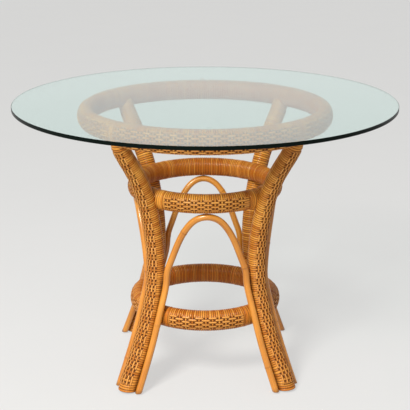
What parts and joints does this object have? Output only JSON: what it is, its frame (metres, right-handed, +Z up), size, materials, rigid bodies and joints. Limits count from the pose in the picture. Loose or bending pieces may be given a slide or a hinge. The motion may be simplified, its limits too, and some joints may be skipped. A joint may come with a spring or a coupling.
{
  "type": "rattan dining table",
  "caption": "Round glass dining table on a waisted base of wrapped and woven rattan legs and hoops with bent pole arches between the legs.",
  "frame": {"origin": "floor level, on the upright axis through the middle of the glass", "axes": "+Z up, front of the table looks along -Y, legs stand on the diagonals"},
  "size_m": [1.0159, 1.016, 0.74],
  "materials": {
    "glass": "clear, polished edge",
    "bumper": "clear soft plastic",
    "core_pole": "raw",
    "peel_weave": "satin varnish",
    "bare_pole": "gloss varnish",
    "peel_lashing": "satin varnish",
    "dowel": "raw",
    "nail": "plain"
  },
  "bodies": {
    "base": {"glass_bumpers": "bumper", "top_hoop_pole": "core_pole", "top_hoop_wrap": "peel_weave", "top_hoop_dowels": "dowel", "mid_hoop_pole": "core_pole", "mid_hoop_wrap": "peel_weave", "mid_hoop_dowels": "dowel", "lower_hoop_pole": "core_pole", "lower_hoop_wrap": "peel_weave", "lower_hoop_dowels": "dowel", "leg_pole_front_left": "core_pole", "leg_wrap_front_left": "peel_weave", "leg_pole_front_right": "core_pole", "leg_wrap_front_right": "peel_weave", "leg_pole_back_right": "core_pole", "leg_wrap_back_right": "peel_weave", "leg_pole_back_left": "core_pole", "leg_wrap_back_left": "peel_weave", "arch_front": "bare_pole", "arch_right": "bare_pole", "arch_back": "bare_pole", "arch_left": "bare_pole", "arch_nails": "nail", "mid_lashing_front_left": "peel_lashing", "mid_lashing_front_right": "peel_lashing", "mid_lashing_back_right": "peel_lashing", "mid_lashing_back_left": "peel_lashing", "lower_lashing_front_left": "peel_lashing", "lower_lashing_front_right": "peel_lashing", "lower_lashing_back_right": "peel_lashing", "lower_lashing_back_left": "peel_lashing"},
    "glass": {"glass_top": "glass"}
  },
  "joints": [
    {"name": "glass_lift", "type": "slide", "parent": "base", "child": "glass", "axis": [0, 0, 1], "range_m": [0, 0.25]}
  ]
}
